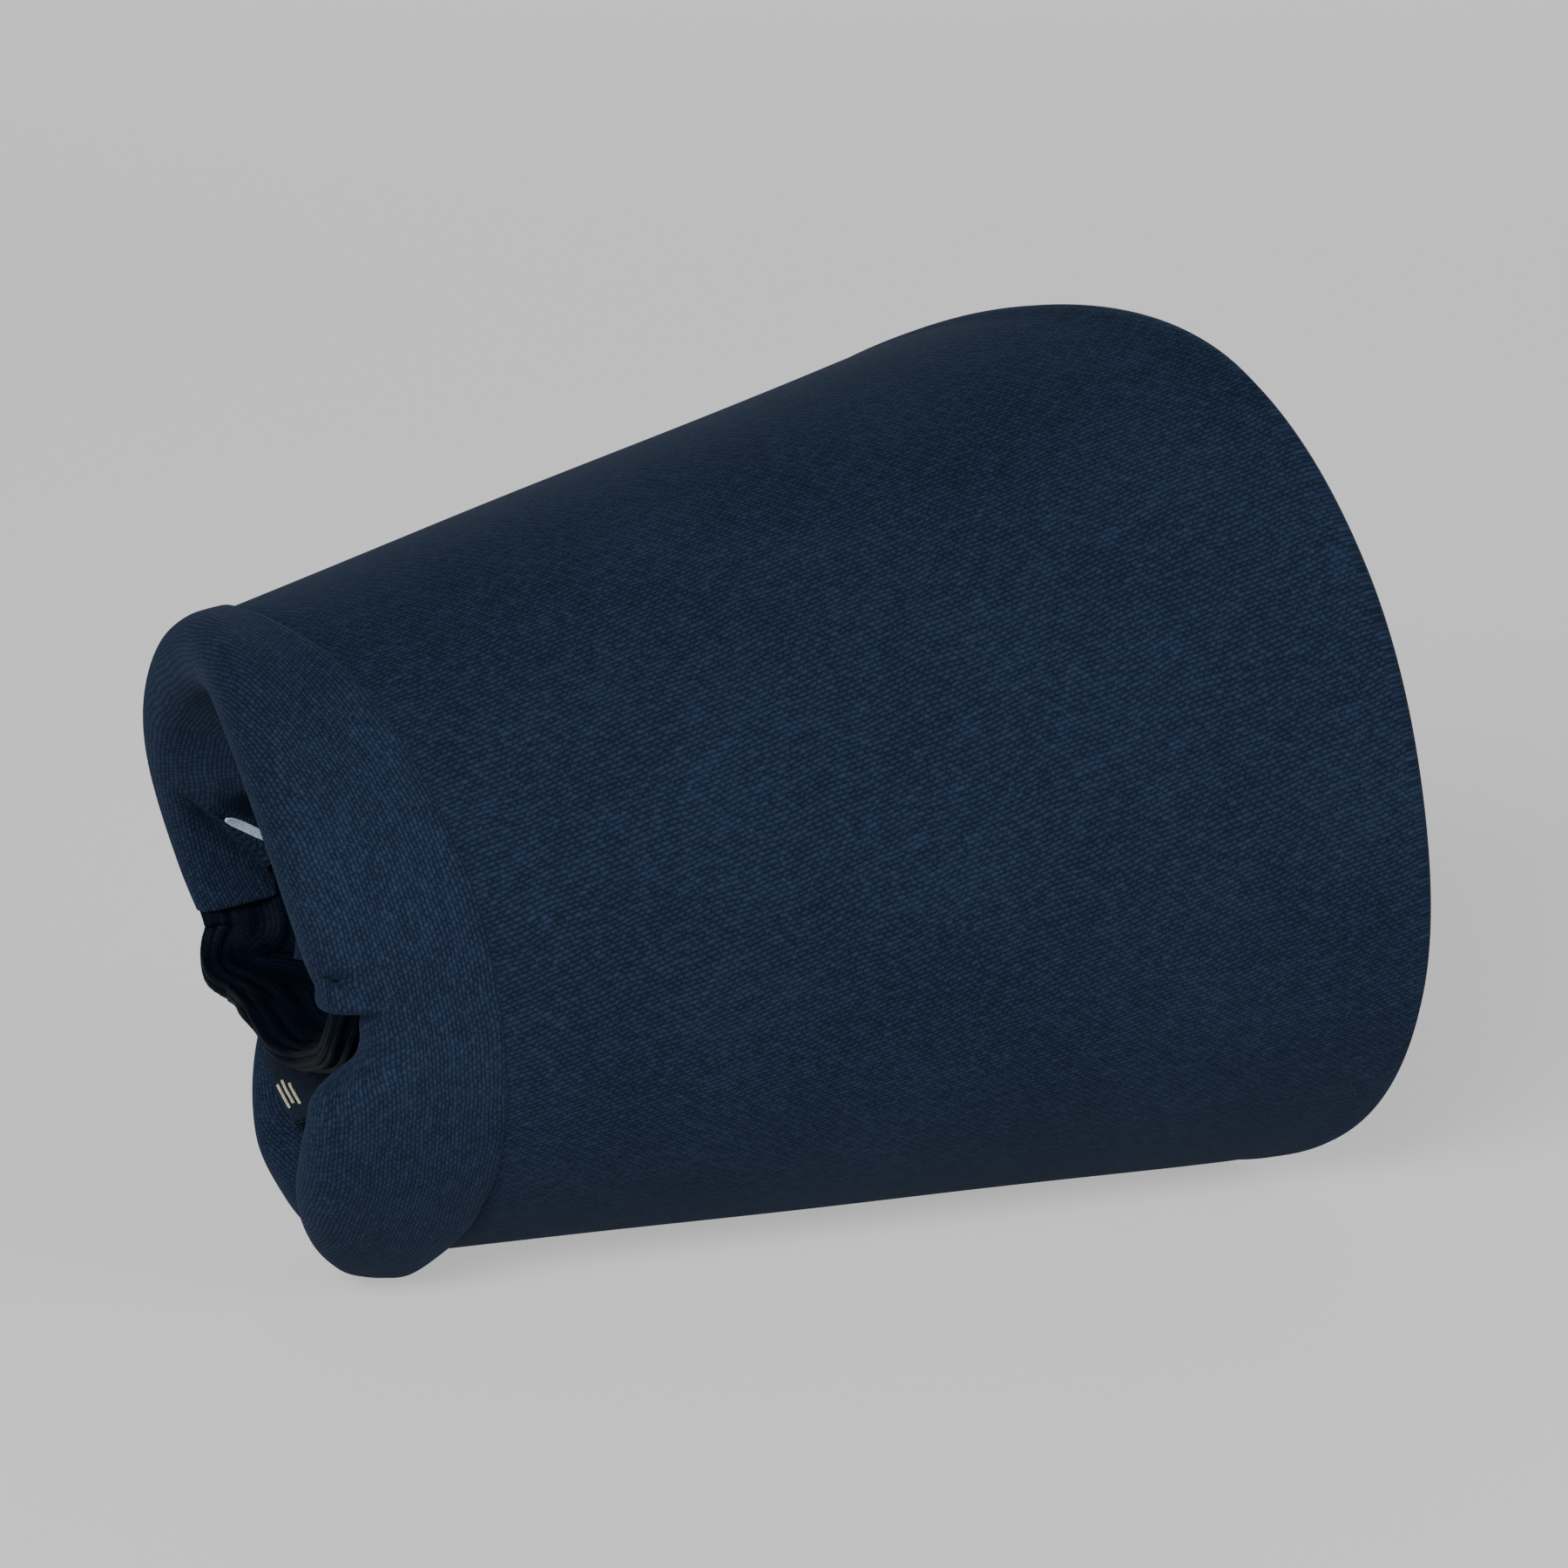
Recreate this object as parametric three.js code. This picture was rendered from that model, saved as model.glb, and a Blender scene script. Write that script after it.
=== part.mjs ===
// A wide-bill golf visor, rolled into a cone for travel.
// Millimetres, +Z up. +X runs from the small (headband) end to the wide rim.
// A place on the roll is (along, turn, out): millimetres along the roll's axis from the
// bill seam, degrees round it, and millimetres outside the bill's outer face.
// Turn 0 is the bill's centre line; turns up to +192 go over the top and down the back,
// turns down to -192 go under the bottom and up inside.
import * as THREE from "three";

// ---- the roll ----
const SEAM_RADIUS = 40.83;
const CONE_ANGLE = 8.37;
const LIFT_ANGLE = 1.33;
const TIP_TURN = 192;
const TURN_STEP = 7.6;
const OUTER_LAYER_RISE = 1.0;
const INNER_LAYER_DROP = 3.9;
const CUFF_END_DROP = 4.6;

// ---- the bill ----
const BILL_DEPTH = [
  [-192, 5], [-180, 22], [-160, 47], [-140, 68], [-120, 84], [-105, 94.5], [-90, 103.2],
  [-75, 108.9], [-60, 111.2], [-30, 110.9], [0, 110], [30, 110.9], [60, 111.2], [75, 108.9],
  [90, 103.2], [105, 94.5], [120, 84], [140, 68], [160, 47], [180, 22], [192, 5],
];
const TOP_FABRIC = 0.6;
const FOAM = 1.6;
const UNDER_FABRIC = 0.6;
const GAP = 0.3;
const EDGE_TURN = 0.9;
const RIM_GAP = 1.1;

// ---- the headband, folded inward as a cuff ----
const SEAM_LINE = [
  [-192, 6], [-165, 4], [-150, 2.2], [-135, -1], [-120, -4.5], [-105, -7.2], [-90, -8.4], [-75, -6.9],
  [-60, -4.7], [-30, -1.3], [0, 0], [30, -1.3], [60, -4.7], [90, -9.4], [105, -10.1], [120, -10.5],
  [150, -8.5], [180, -4.5], [192, -3],
];
const FOLD_EDGE = [
  [-192, -4], [-165, -6], [-152, -7.4], [-140, -12.2], [-120, -16], [-106, -15.6], [-94, -14.8],
  [-82, -15.8], [-70, -18.2], [-58, -21], [-46, -23], [-35, -23.6], [-19, -22.5], [0, -20],
  [28, -20.6], [60, -20], [84, -18.4], [104, -17.4], [122, -17.6], [150, -17.4], [180, -14.6],
  [192, -13],
];
const CUFF_BULGE = [
  [-192, 0.6], [-150, 0.8], [-110, 2], [-85, 2.5], [-60, 1.8], [0, 1.2], [60, 1], [90, 0.9],
  [130, 0.9], [192, 0.6],
];
const CUFF_HEIGHT = [
  [-192, 6.3], [-150, 6.6], [-120, 8.4], [-90, 10], [-60, 9.6], [0, 8.6], [60, 8.4], [90, 7.6],
  [130, 6.6], [192, 6.3],
];
const BAND_SHELL = 0.8;
const INTERLINING = 0.5;
const SWEATBAND = 0.8;
const INTERLINING_TURNS = [-70, 112];

// ---- the peeling flap ----
const HINGE_TURN = 125;
const HINGE_GAP = 0.5;

// ---- the back strap and its label ----
const CASING_WALL = 0.8;
const ELASTIC_THICKNESS = 1.6;
const STRAP = [
  // turn, along, distance from the axis, width, thickness, how much of the width runs along the roll
  [206.5, -12.5, 31.5, 8, 3.6, 0.0],
  [211.5, -12.5, 26.0, 8, 3.8, 0.0],
  [220, -10.0, 17.5, 10, 4.2, 0.5],
  [248, -4.0, 10.5, 13, 4.6, 1.0],
  [300, -4.0, 11.0, 14, 4.8, 1.0],
  [335, -8.0, 19.0, 14, 4.8, 0.7],
  [352, -9.0, 25.0, 14, 4.8, 0.9],
  [375, -2.0, 26.0, 14, 4.6, 1.0],
  [415, 3.0, 24.0, 15, 4.4, 1.0],
  [460, 4.0, 21.0, 15, 4.4, 1.0],
  [500, 3.0, 19.5, 15, 4.4, 1.0],
  [525, 1.0, 20.0, 14, 4.4, 1.0],
];
const TAB = [
  [193.2, -8.3, 37.1, 7, 3.0, 1.0],
  [196.2, -8.6, 37.1, 7, 3.0, 1.0],
  [200, -10.6, 36.4, 7, 3.0, 0.5],
  [203.6, -12.2, 34.2, 7, 3.0, 0.05],
];
const LABEL = { turn: 240, from: -13.5, to: -3.5, distance: 27.0, wide: 11, thick: 0.4 };
const EMBLEM_TURNS = [162, 166, 170, 175];

const rad = (deg) => (deg * Math.PI) / 180;
const lerp = (a, b, t) => a + (b - a) * t;
const smooth = (t) => {
  const c = Math.min(1, Math.max(0, t));
  return c * c * (3 - 2 * c);
};

// Reads a smooth curve through [turn, value] stops.
function along(stops, turn) {
  let i = 0;
  while (i < stops.length - 2 && turn > stops[i + 1][0]) i += 1;
  const before = stops[Math.max(0, i - 1)];
  const [t0, v0] = stops[i];
  const [t1, v1] = stops[i + 1];
  const after = stops[Math.min(stops.length - 1, i + 2)];
  const span = t1 - t0;
  const slope0 = ((v1 - before[1]) / (t1 - before[0])) * span;
  const slope1 = ((after[1] - v0) / (after[0] - t0)) * span;
  const s = Math.min(1, Math.max(0, (turn - t0) / span));
  const s2 = s * s;
  const s3 = s2 * s;
  return (
    (2 * s3 - 3 * s2 + 1) * v0 + (s3 - 2 * s2 + s) * slope0 + (3 * s2 - 2 * s3) * v1 + (s3 - s2) * slope1
  );
}

// ---- places on the roll ----
const AXIS_TILT = rad(CONE_ANGLE - LIFT_ANGLE);
const AXIS = new THREE.Vector3(Math.cos(AXIS_TILT), 0, Math.sin(AXIS_TILT));
const UP = new THREE.Vector3(-Math.sin(AXIS_TILT), 0, Math.cos(AXIS_TILT));
const FRONT = new THREE.Vector3(0, -1, 0);

function outward(turn) {
  return FRONT.clone()
    .multiplyScalar(Math.cos(rad(turn)))
    .addScaledVector(UP, Math.sin(rad(turn)));
}

function fromAxis(x, turn, distance) {
  return AXIS.clone().multiplyScalar(x).addScaledVector(outward(turn), distance);
}

function layerShift(x, turn) {
  if (turn > 0) return OUTER_LAYER_RISE * smooth((turn - 100) / 60);
  const drop = INNER_LAYER_DROP + CUFF_END_DROP * (1 - smooth(x / 60));
  return -drop * smooth((-turn - 90) / 72);
}

function onRoll(x, turn, out) {
  const radius = SEAM_RADIUS + x * Math.tan(rad(CONE_ANGLE)) + layerShift(x, turn) + out;
  return fromAxis(x, turn, radius);
}

// ---- building closed bodies ----
function mesh(name, positions, faces, colour) {
  const geometry = new THREE.BufferGeometry();
  const flat = positions.flatMap((p) => [p.x, p.y, p.z]);
  geometry.setAttribute("position", new THREE.Float32BufferAttribute(flat, 3));
  geometry.setIndex(faces.flat());
  geometry.computeVertexNormals();
  const material = new THREE.MeshStandardMaterial({ color: colour, roughness: 0.85 });
  material.name = `${name}_material`;
  const body = new THREE.Mesh(geometry, material);
  body.name = name;
  return body;
}

// Turns the body right side out if its faces point inward.
function facingOut(positions, faces) {
  let volume = 0;
  for (const [a, b, c] of faces) {
    const cross = positions[b].clone().cross(positions[c]);
    volume += positions[a].dot(cross);
  }
  return volume < 0 ? faces.map(([a, b, c]) => [a, c, b]) : faces;
}

// Joins rings of equal length into one solid. A cap is a list of triangles of ring indices.
function solidFromRings(name, rings, cap, colour) {
  const size = rings[0].length;
  const positions = rings.flat();
  const faces = [];
  for (let r = 0; r < rings.length - 1; r += 1) {
    for (let k = 0; k < size; k += 1) {
      const a = r * size + k;
      const b = r * size + ((k + 1) % size);
      faces.push([a, b, b + size], [a, b + size, a + size]);
    }
  }
  const last = (rings.length - 1) * size;
  for (const [a, b, c] of cap) {
    faces.push([a, c, b]);
    faces.push([last + a, last + b, last + c]);
  }
  return mesh(name, positions, facingOut(positions, faces), colour);
}

// The cap of a ring made of one edge out and the same edge back.
function stripCap(count) {
  const cap = [];
  for (let k = 0; k < count - 1; k += 1) {
    const back = 2 * count - 1 - k;
    cap.push([k, k + 1, back - 1], [k, back - 1, back]);
  }
  return cap;
}

function turnsBetween(from, to) {
  const steps = Math.max(1, Math.round((to - from) / TURN_STEP));
  return Array.from({ length: steps + 1 }, (_, i) => lerp(from, to, i / steps));
}

// One flat layer of the bill between two depths below the outer face.
function billLayer(name, from, to, top, bottom, rimInset, colour) {
  const shares = [0, 0.12, 0.3, 0.5, 0.75, 1];
  const rings = turnsBetween(from, to).map((turn) => {
    const seam = along(SEAM_LINE, turn) + 0.4;
    const rim = along(SEAM_LINE, turn) + along(BILL_DEPTH, turn) - rimInset;
    const xs = shares.map((s) => lerp(seam, rim, s));
    const upper = xs.map((x) => onRoll(x, turn, -top));
    const lower = xs.map((x) => onRoll(x, turn, -bottom)).reverse();
    return [...upper, ...lower];
  });
  return solidFromRings(name, rings, stripCap(shares.length), colour);
}

// The top fabric also turns down over the rim and hides the foam's edge.
function billTop(name, from, to, colour) {
  const shares = [0, 0.12, 0.3, 0.5, 0.75, 1];
  const depth = TOP_FABRIC + FOAM + UNDER_FABRIC + 2 * GAP;
  const rings = turnsBetween(from, to).map((turn) => {
    const seam = along(SEAM_LINE, turn) + 0.4;
    const rim = along(SEAM_LINE, turn) + along(BILL_DEPTH, turn);
    const upperXs = shares.map((s) => lerp(seam, rim, s));
    const lowerXs = shares.map((s) => lerp(seam, rim - EDGE_TURN, s));
    const upper = upperXs.map((x) => onRoll(x, turn, 0));
    const lower = lowerXs.map((x) => onRoll(x, turn, -TOP_FABRIC)).reverse();
    const turned = [onRoll(rim, turn, -depth), onRoll(rim - EDGE_TURN, turn, -depth)];
    return [...upper, ...turned, ...lower];
  });
  const n = shares.length;
  const cap = [
    [n - 1, n, n + 2],
    [n, n + 1, n + 2],
  ];
  for (let k = 0; k < n - 1; k += 1) {
    const back = 2 * n + 1 - k;
    cap.push([k, k + 1, back - 1], [k, back - 1, back]);
  }
  return solidFromRings(name, rings, cap, colour);
}

// The folded band: out from the seam, round the fold and back inside.
function cuffPath(turn, depth) {
  const seam = along(SEAM_LINE, turn) - 0.1;
  const fold = along(FOLD_EDGE, turn);
  const bulge = along(CUFF_BULGE, turn);
  const half = along(CUFF_HEIGHT, turn) / 2;
  const centre = { x: fold + half, out: bulge - half };
  const reach = half - depth;
  const points = [
    { x: seam, out: -depth },
    { x: lerp(seam, centre.x, 0.3), out: bulge * 0.7 - depth },
    { x: lerp(seam, centre.x, 0.6), out: bulge - depth },
    { x: centre.x, out: bulge - depth },
  ];
  for (const angle of [30, 60, 90, 120, 150, 180]) {
    const a = rad(angle);
    points.push({ x: centre.x - reach * Math.sin(a), out: centre.out + reach * Math.cos(a) });
  }
  points.push({ x: Math.max(seam - 1, centre.x + 0.6), out: centre.out - reach });
  return points;
}

function cuffLayer(name, from, to, depth, thickness, colour) {
  const rings = turnsBetween(from, to).map((turn) => {
    const outer = cuffPath(turn, depth).map((p) => onRoll(p.x, turn, p.out));
    const inner = cuffPath(turn, depth + thickness).map((p) => onRoll(p.x, turn, p.out));
    return [...outer, ...inner.reverse()];
  });
  const count = rings[0].length / 2;
  return solidFromRings(name, rings, stripCap(count), colour);
}

function seamTape(name, from, to, colour) {
  const under = TOP_FABRIC + FOAM + UNDER_FABRIC + 3 * GAP;
  const rings = turnsBetween(from, to).map((turn) => {
    const seam = along(SEAM_LINE, turn) + 0.5;
    const end = seam + Math.min(8, along(BILL_DEPTH, turn) - 1.2);
    return [
      onRoll(seam, turn, -under),
      onRoll(end, turn, -under),
      onRoll(end, turn, -under - 0.4),
      onRoll(seam, turn, -under - 0.4),
    ];
  });
  return solidFromRings(name, rings, stripCap(2), colour);
}

// ---- straps ----
function strapFrames(stops, samples) {
  const centres = new THREE.CatmullRomCurve3(stops.map(([t, x, r]) => fromAxis(x, t, r)), false, "centripetal");
  const widths = new THREE.CatmullRomCurve3(
    stops.map(([t, , , , , share]) =>
      AXIS.clone()
        .multiplyScalar(share)
        .addScaledVector(outward(t), 1 - share),
    ),
  );
  return Array.from({ length: samples + 1 }, (_, i) => {
    const s = i / samples;
    const tangent = centres.getTangent(s);
    const wide = widths.getPoint(s);
    wide.addScaledVector(tangent, -wide.dot(tangent)).normalize();
    const thick = tangent.clone().cross(wide).normalize();
    const at = s * (stops.length - 1);
    const k = Math.min(stops.length - 2, Math.floor(at));
    const width = lerp(stops[k][3], stops[k + 1][3], at - k);
    const thickness = lerp(stops[k][4], stops[k + 1][4], at - k);
    return { centre: centres.getPoint(s), wide, thick, width, thickness };
  });
}

function ovalRing(frame, inset, points) {
  return Array.from({ length: points }, (_, i) => {
    const a = (2 * Math.PI * i) / points;
    const w = Math.sign(Math.cos(a)) * Math.abs(Math.cos(a)) ** 0.6 * (frame.width / 2 - inset);
    const t = Math.sign(Math.sin(a)) * Math.abs(Math.sin(a)) ** 0.8 * (frame.thickness / 2 - inset);
    return frame.centre.clone().addScaledVector(frame.wide, w).addScaledVector(frame.thick, t);
  });
}

function fanCap(points) {
  return Array.from({ length: points - 2 }, (_, i) => [0, i + 1, i + 2]);
}

function solidStrap(name, frames, inset, colour) {
  const points = 12;
  return solidFromRings(name, frames.map((f) => ovalRing(f, inset, points)), fanCap(points), colour);
}

// A hollow sleeve, open at both ends.
function sleeve(name, frames, wall, colour) {
  const points = 12;
  const outer = frames.map((f) => ovalRing(f, 0, points));
  const inner = frames.map((f) => ovalRing(f, wall, points));
  const positions = [...outer.flat(), ...inner.flat()];
  const shift = frames.length * points;
  const faces = [];
  for (let r = 0; r < frames.length - 1; r += 1) {
    for (let k = 0; k < points; k += 1) {
      const a = r * points + k;
      const b = r * points + ((k + 1) % points);
      faces.push([a, b, b + points], [a, b + points, a + points]);
      faces.push([shift + a, shift + b + points, shift + b]);
      faces.push([shift + a, shift + a + points, shift + b + points]);
    }
  }
  for (const [row, flip] of [[0, true], [frames.length - 1, false]]) {
    for (let k = 0; k < points; k += 1) {
      const a = row * points + k;
      const b = row * points + ((k + 1) % points);
      const pair = [
        [a, b, shift + b],
        [a, shift + b, shift + a],
      ];
      faces.push(...(flip ? pair.map(([p, q, s]) => [p, s, q]) : pair));
    }
  }
  return mesh(name, positions, facingOut(positions, faces), colour);
}

// A thin block lying on a curved place of the roll.
function patch(name, turns, xs, bottom, top, colour) {
  const rings = turns.map((turn, i) => {
    const [x0, x1] = xs[i];
    return [onRoll(x0, turn, top), onRoll(x1, turn, top), onRoll(x1, turn, bottom), onRoll(x0, turn, bottom)];
  });
  return solidFromRings(name, rings, stripCap(2), colour);
}

// A flat plate lying along the roll, facing its axis.
function plate(name, turn, from, to, distance, wide, thick, colour) {
  const side = outward(turn).cross(AXIS).normalize();
  const rings = [distance, distance - thick].map((reach) => [
    fromAxis(from, turn, reach).addScaledVector(side, -wide / 2),
    fromAxis(to, turn, reach).addScaledVector(side, -wide / 2),
    fromAxis(to, turn, reach).addScaledVector(side, wide / 2),
    fromAxis(from, turn, reach).addScaledVector(side, wide / 2),
  ]);
  return solidFromRings(name, rings, stripCap(2), colour);
}

// ---- assembly ----
const NAVY = 0x1d2c40;
const DARK_NAVY = 0x131c2a;
const LINING = 0x172334;
const WHITE = 0xe8e8e6;
const BLACK = 0x17181b;
const PALE = 0x9fb0c4;

const foamTop = TOP_FABRIC + GAP;
const underTop = foamTop + FOAM + GAP;
const underBottom = underTop + UNDER_FABRIC;
const rimInset = EDGE_TURN + RIM_GAP;
const liningDepth = BAND_SHELL + GAP;
const sweatDepth = liningDepth + INTERLINING + GAP;

function rollPieces(prefix, from, to) {
  return [
    billTop(`${prefix}top_fabric`, from, to, NAVY),
    billLayer(`${prefix}foam_core`, from, to, foamTop, foamTop + FOAM, rimInset, WHITE),
    billLayer(`${prefix}under_fabric`, from, to, underTop, underBottom, rimInset, NAVY),
    seamTape(`${prefix}seam_tape`, from, to, DARK_NAVY),
    cuffLayer(`${prefix}band_shell`, from, to, 0, BAND_SHELL, NAVY),
    cuffLayer(`${prefix}sweatband`, from, to, sweatDepth, SWEATBAND, BLACK),
  ];
}

const halfGap = HINGE_GAP / 2 / rad(SEAM_RADIUS);
const strap = strapFrames(STRAP, 34);
const tab = strapFrames(TAB, 5);
const emblemEnds = [[-9.6, -8.4], [-10.2, -7.4], [-10, -6.6], [-9.2, -7.6]];
const elasticInset = CASING_WALL + GAP;

const visor = new THREE.Group();
visor.name = "rolled_golf_visor";
visor.add(
  ...rollPieces("bill_", -TIP_TURN, HINGE_TURN - halfGap),
  ...rollPieces("flap_", HINGE_TURN + halfGap, TIP_TURN),
  cuffLayer("band_interlining", ...INTERLINING_TURNS, liningDepth, INTERLINING, WHITE),
  sleeve("strap_casing", strap, CASING_WALL, NAVY),
  solidStrap("strap_elastic", strap.slice(1, -1), elasticInset, BLACK),
  solidStrap("flap_strap_end", tab, 0, NAVY),
  patch("emblem", EMBLEM_TURNS, emblemEnds, -6.4, -6.05, PALE),
  patch("bartack_inner", [-188.5, -186], [[-1, 3.5], [-1, 3.5]], 1.0, 1.4, DARK_NAVY),
  patch("bartack_outer", [186, 188.5], [[-9, -4.5], [-9, -4.5]], 1.0, 1.5, DARK_NAVY),
  plate("care_label", LABEL.turn, LABEL.from, LABEL.to, LABEL.distance, LABEL.wide, LABEL.thick, WHITE),
  plate("label_stitch", LABEL.turn, LABEL.to + 0.5, LABEL.to + 1.2, LABEL.distance + 0.3, 10, 0.9, PALE),
);

// The cloth's lowest line is pressed flat where it rests; then the part is set on its base.
const PRESSED = 0.35;
visor.updateMatrixWorld(true);
const box = new THREE.Box3().setFromObject(visor);
const floor = box.min.z + PRESSED;
const middle = box.getCenter(new THREE.Vector3());
for (const body of visor.children) {
  const places = body.geometry.getAttribute("position");
  for (let i = 0; i < places.count; i += 1) {
    places.setX(i, places.getX(i) - middle.x);
    places.setY(i, places.getY(i) - middle.y);
    places.setZ(i, Math.max(places.getZ(i) - floor, 0));
  }
  body.geometry.computeVertexNormals();
}

export default visor;
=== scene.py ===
"""A wide-bill golf visor, rolled into a cone for travel."""

import math

import bpy
import numpy as np
from mathutils import Matrix, Vector


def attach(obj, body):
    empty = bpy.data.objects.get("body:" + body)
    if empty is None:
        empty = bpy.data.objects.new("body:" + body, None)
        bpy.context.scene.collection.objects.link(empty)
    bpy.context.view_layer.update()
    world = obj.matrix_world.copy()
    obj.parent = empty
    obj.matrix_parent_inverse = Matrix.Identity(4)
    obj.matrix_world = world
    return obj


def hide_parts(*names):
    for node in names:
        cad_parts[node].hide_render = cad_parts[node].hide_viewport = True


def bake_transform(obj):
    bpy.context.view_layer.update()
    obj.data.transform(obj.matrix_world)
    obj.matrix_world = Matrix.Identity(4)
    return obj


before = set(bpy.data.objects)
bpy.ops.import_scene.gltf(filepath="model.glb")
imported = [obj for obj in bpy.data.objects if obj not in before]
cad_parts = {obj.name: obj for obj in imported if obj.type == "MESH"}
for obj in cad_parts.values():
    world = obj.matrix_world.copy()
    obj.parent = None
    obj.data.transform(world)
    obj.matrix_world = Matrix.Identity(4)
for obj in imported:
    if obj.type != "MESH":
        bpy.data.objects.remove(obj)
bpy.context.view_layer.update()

MM = 0.001

# ---- the roll, in millimetres and degrees, as the CAD part lays it out ----
SEAM_RADIUS = 40.83
CONE_ANGLE = math.radians(8.37)
LIFT_ANGLE = math.radians(1.33)
AXIS_START = np.array([-44.529, 5.753, 42.354])
TIP_TURN = 192
SPLIT_TURN = -78
OUTER_LAYER_RISE = 1.0
INNER_LAYER_DROP = 3.9
CUFF_END_DROP = 4.6

BILL_DEPTH = [
    (-192, 5), (-180, 22), (-160, 47), (-140, 68), (-120, 84), (-105, 94.5), (-90, 103.2),
    (-75, 108.9), (-60, 111.2), (-30, 110.9), (0, 110), (30, 110.9), (60, 111.2), (75, 108.9),
    (90, 103.2), (105, 94.5), (120, 84), (140, 68), (160, 47), (180, 22), (192, 5),
]
SEAM_LINE = [
    (-192, 6), (-165, 4), (-150, 2.2), (-135, -1), (-120, -4.5), (-105, -7.2), (-90, -8.4), (-75, -6.9),
    (-60, -4.7), (-30, -1.3), (0, 0), (30, -1.3), (60, -4.7), (90, -9.4), (105, -10.1), (120, -10.5),
    (150, -8.5), (180, -4.5), (192, -3),
]
FOLD_EDGE = [
    (-192, -4), (-165, -6), (-152, -7.4), (-140, -12.2), (-120, -16), (-106, -15.6), (-94, -14.8),
    (-82, -15.8), (-70, -18.2), (-58, -21), (-46, -23), (-35, -23.6), (-19, -22.5), (0, -20),
    (28, -20.6), (60, -20), (84, -18.4), (104, -17.4), (122, -17.6), (150, -17.4), (180, -14.6),
    (192, -13),
]
CUFF_BULGE = [
    (-192, 0.6), (-150, 0.8), (-110, 2), (-85, 2.5), (-60, 1.8), (0, 1.2), (60, 1), (90, 0.9),
    (130, 0.9), (192, 0.6),
]
CUFF_HEIGHT = [
    (-192, 6.3), (-150, 6.6), (-120, 8.4), (-90, 10), (-60, 9.6), (0, 8.6), (60, 8.4), (90, 7.6),
    (130, 6.6), (192, 6.3),
]
BILL_THICK = 3.2
BAND_THICK = 0.9
SWEAT_THICK = 1.0
SWEAT_DEPTH = 1.25
WEAVE_RADIUS = 39  # the weave round the band is laid out as if at this distance from the axis

TILT = CONE_ANGLE - LIFT_ANGLE
AXIS = np.array([math.cos(TILT), 0.0, math.sin(TILT)])
UP = np.array([-math.sin(TILT), 0.0, math.cos(TILT)])
FRONT = np.array([0.0, -1.0, 0.0])


def smooth(t):
    c = np.clip(t, 0, 1)
    return c * c * (3 - 2 * c)


def dome(value, middle, width):
    """A bell of height 1 at middle."""
    return np.exp(-(((value - middle) / width) ** 2))


def curve(stops):
    """A smooth curve through (place, value) stops."""
    xs, ys = np.array(stops, float).T
    last = len(xs) - 1
    lo = np.maximum(np.arange(last + 1) - 1, 0)
    hi = np.minimum(np.arange(last + 1) + 1, last)
    slopes = (ys[hi] - ys[lo]) / (xs[hi] - xs[lo])

    def at(t):
        t = np.clip(np.asarray(t, float), xs[0], xs[-1])
        i = np.clip(np.searchsorted(xs, t, side="right") - 1, 0, last - 1)
        span = xs[i + 1] - xs[i]
        s = (t - xs[i]) / span
        rise = 3 * s**2 - 2 * s**3
        start = (s**3 - 2 * s**2 + s) * slopes[i] * span
        end = (s**3 - s**2) * slopes[i + 1] * span
        return ys[i] * (1 - rise) + ys[i + 1] * rise + start + end

    return at


bill_depth = curve(BILL_DEPTH)
seam_line = curve(SEAM_LINE)
fold_edge = curve(FOLD_EDGE)
cuff_bulge = curve(CUFF_BULGE)
cuff_height = curve(CUFF_HEIGHT)


def outward(turn):
    a = np.radians(np.asarray(turn, float))[..., None]
    return np.cos(a) * FRONT + np.sin(a) * UP


def from_axis(x, turn, distance):
    x = np.asarray(x, float)[..., None]
    distance = np.asarray(distance, float)[..., None]
    return AXIS_START + x * AXIS + distance * outward(turn)


def layer_shift(x, turn):
    rise = OUTER_LAYER_RISE * smooth((turn - 100) / 60)
    drop = INNER_LAYER_DROP + CUFF_END_DROP * (1 - smooth(x / 60))
    return np.where(turn > 0, rise, -drop * smooth((-turn - 90) / 72))


def on_roll(x, turn, out):
    radius = SEAM_RADIUS + x * math.tan(CONE_ANGLE) + layer_shift(x, turn) + out
    return from_axis(x, turn, radius)


def ripple(a, b, seed, waves=6):
    """Smooth seeded unevenness between about -1 and 1."""
    rng = np.random.default_rng(seed)
    total = np.zeros(np.broadcast(a, b).shape)
    for _ in range(waves):
        ka, kb = rng.normal(0, 1, 2)
        total = total + np.sin(ka * a + kb * b + rng.uniform(0, 2 * math.pi))
    return total / math.sqrt(waves * 2)


# ---- cloth bodies ----
def unit(v):
    return v / np.maximum(np.linalg.norm(v, axis=-1, keepdims=True), 1e-9)


def sheet_normals(mid):
    return unit(np.cross(np.gradient(mid, axis=0), np.gradient(mid, axis=1)))


def signed_volume(points, faces):
    total = 0.0
    for face in faces:
        a = points[face[0]]
        for i in range(1, len(face) - 1):
            total += np.dot(a, np.cross(points[face[i]], points[face[i + 1]]))
    return total


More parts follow.
